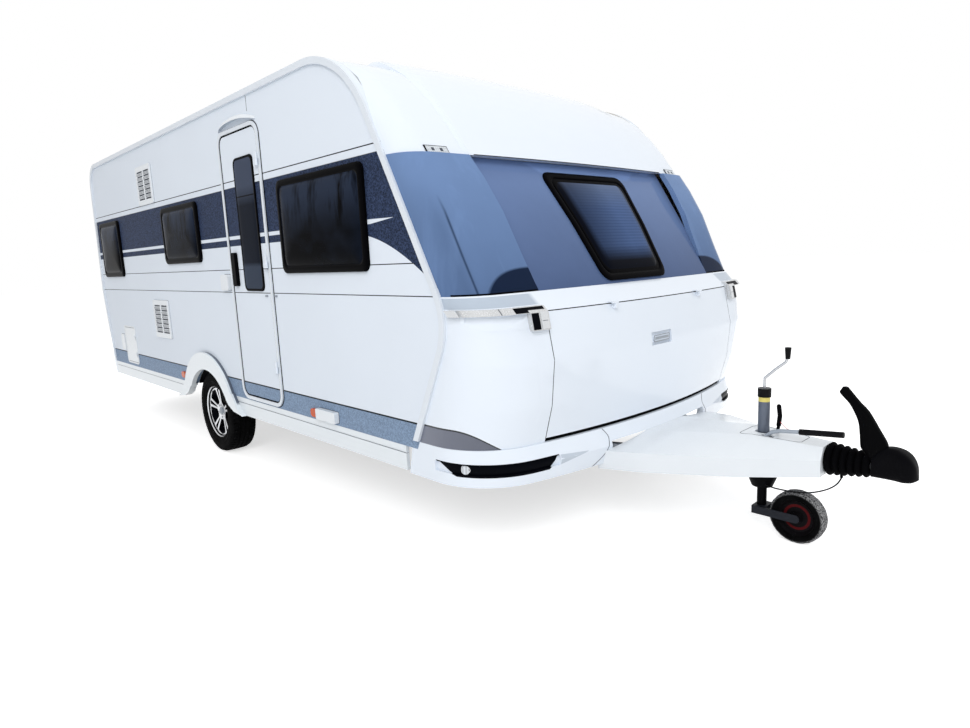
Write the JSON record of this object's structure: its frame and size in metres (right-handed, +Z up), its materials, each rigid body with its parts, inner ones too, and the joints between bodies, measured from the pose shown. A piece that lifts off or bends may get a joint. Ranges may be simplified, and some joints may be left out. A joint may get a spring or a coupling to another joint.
{
  "type": "travel caravan",
  "caption": "Single-axle touring caravan with moulded front and rear, entry door, front locker lid, roof hatches, corner steadies and an A-frame drawbar standing on its jockey wheel.",
  "frame": {"origin": "on the ground, under the middle of the whole length and width", "axes": "+X forwards to the coupling, +Y to the left side, +Z up"},
  "size_m": [7.4026, 2.571, 2.63],
  "materials": {
    "body_white": "gloss white sheet",
    "band_tint": "gloss tinted panel",
    "shoulder_tint": "gloss blue-grey panel",
    "window_tint": "dark tinted acrylic",
    "lamp_red": "clear moulded",
    "lamp_clear": "clear moulded",
    "lamp_amber": "clear moulded",
    "underfloor": "coated board",
    "lining": "painted board",
    "black_plastic": "moulded",
    "white_plastic": "moulded",
    "trim_grey": "coated extrusion",
    "hatch_clear": "opal acrylic",
    "galvanised": "hot-dip galvanised",
    "steel_bright": "zinc plated",
    "tyre": "moulded",
    "rim_alloy": "machined and painted",
    "rubber": "moulded",
    "cast_black": "painted",
    "red_plastic": "moulded",
    "wire_red": "coated"
  },
  "bodies": {
    "caravan": {"awning_lamp": "lamp_clear", "axle": "galvanised", "bellows": "rubber", "breakaway_wire": "wire_red", "chassis": "galvanised", "corner_trims": "trim_grey", "coupling_head": "cast_black", "coupling_lever": "black_plastic", "door_frame": "white_plastic", "drawbar_cable": "black_plastic", "drawbar_cover": "white_plastic", "floor_panel": "underfloor", "fridge_vents": "white_plastic", "front_band_panel": "band_tint", "front_bumper": "body_white", "front_cap": "body_white", "front_lamps": "lamp_clear", "front_lower_shell": "body_white", "front_shoulder_panels": "shoulder_tint", "front_window": "window_tint", "grab_handles": "steel_bright", "handbrake_lever": "galvanised", "hatch_frames": "white_plastic", "jockey_clamp": "cast_black", "jockey_crank": "steel_bright", "jockey_mast": "galvanised", "locker_bulkhead": "lining", "overrun_tube": "steel_bright", "rear_bumper": "body_white", "rear_shell": "body_white", "rear_window": "window_tint", "roof_panel": "body_white", "service_flaps": "white_plastic", "side_markers": "lamp_amber", "side_skirts": "body_white", "side_wall_left": "body_white", "side_wall_right": "body_white", "side_windows": "window_tint", "tail_lamps": "lamp_red", "wheel_arch_trims": "white_plastic", "wheel_boxes": "black_plastic"},
    "wheel_right": {"tyre_right": "tyre", "rim_right": "rim_alloy"},
    "wheel_left": {"tyre_left": "tyre", "rim_left": "rim_alloy"},
    "entry_door": {"door_leaf": "body_white", "door_window": "window_tint", "door_handle": "black_plastic"},
    "gas_locker_lid": {"locker_lid": "body_white"},
    "roof_hatch_front": {"hatch_lid_front": "hatch_clear"},
    "roof_hatch_rear": {"hatch_lid_rear": "hatch_clear"},
    "cassette_hatch": {"cassette_flap": "white_plastic"},
    "jockey_stem": {"jockey_leg": "cast_black"},
    "jockey_caster": {"jockey_fork": "cast_black"},
    "jockey_wheel": {"jockey_tyre": "rubber", "jockey_rim": "red_plastic"},
    "front_right_steady": {"steady_front_right": "galvanised"},
    "front_left_steady": {"steady_front_left": "galvanised"},
    "rear_right_steady": {"steady_rear_right": "galvanised"},
    "rear_left_steady": {"steady_rear_left": "galvanised"}
  },
  "joints": [
    {"name": "wheel_right_spin", "type": "hinge", "parent": "caravan", "child": "wheel_right", "pos_m": [-0.8, -1.1425, 0.322], "axis": [0, 1, 0], "continuous": true},
    {"name": "wheel_left_spin", "type": "hinge", "parent": "caravan", "child": "wheel_left", "pos_m": [-0.8, 1.1425, 0.322], "axis": [0, 1, 0], "continuous": true},
    {"name": "door_hinge", "type": "hinge", "parent": "caravan", "child": "entry_door", "pos_m": [0.414, -1.274, 1.43], "axis": [0, 0, 1], "range_deg": [0, 165]},
    {"name": "locker_lid_hinge", "type": "hinge", "parent": "caravan", "child": "gas_locker_lid", "pos_m": [2.44, 0, 1.192], "axis": [0, -1, 0], "range_deg": [0, 75]},
    {"name": "hatch_front_hinge", "type": "hinge", "parent": "caravan", "child": "roof_hatch_front", "pos_m": [0.055, 0, 2.59], "axis": [0, 1, 0], "range_deg": [0, 60]},
    {"name": "hatch_rear_hinge", "type": "hinge", "parent": "caravan", "child": "roof_hatch_rear", "pos_m": [-2.195, 0, 2.59], "axis": [0, 1, 0], "range_deg": [0, 60]},
    {"name": "cassette_hinge", "type": "hinge", "parent": "caravan", "child": "cassette_hatch", "pos_m": [-2.615, -1.262, 0.73], "axis": [0, 0, 1], "range_deg": [0, 110]},
    {"name": "jockey_lift", "type": "slide", "parent": "caravan", "child": "jockey_stem", "axis": [0, 0, 1], "range_m": [-0.15, 0.06]},
    {"name": "jockey_swivel", "type": "hinge", "parent": "jockey_stem", "child": "jockey_caster", "pos_m": [3.02, 0, 0.13], "axis": [0, 0, 1], "continuous": true},
    {"name": "jockey_wheel_spin", "type": "hinge", "parent": "jockey_caster", "child": "jockey_wheel", "pos_m": [3.199, 0, 0.13], "axis": [0, 1, 0], "continuous": true},
    {"name": "steady_front_right_fold", "type": "hinge", "parent": "caravan", "child": "front_right_steady", "pos_m": [1.1, -0.9, 0.468], "axis": [0, 1, 0], "range_deg": [0, 68]},
    {"name": "steady_front_left_fold", "type": "hinge", "parent": "caravan", "child": "front_left_steady", "pos_m": [1.1, 0.9, 0.468], "axis": [0, 1, 0], "range_deg": [0, 68]},
    {"name": "steady_rear_right_fold", "type": "hinge", "parent": "caravan", "child": "rear_right_steady", "pos_m": [-2.76, -0.9, 0.468], "axis": [0, -1, 0], "range_deg": [0, 68]},
    {"name": "steady_rear_left_fold", "type": "hinge", "parent": "caravan", "child": "rear_left_steady", "pos_m": [-2.76, 0.9, 0.468], "axis": [0, -1, 0], "range_deg": [0, 68]}
  ]
}
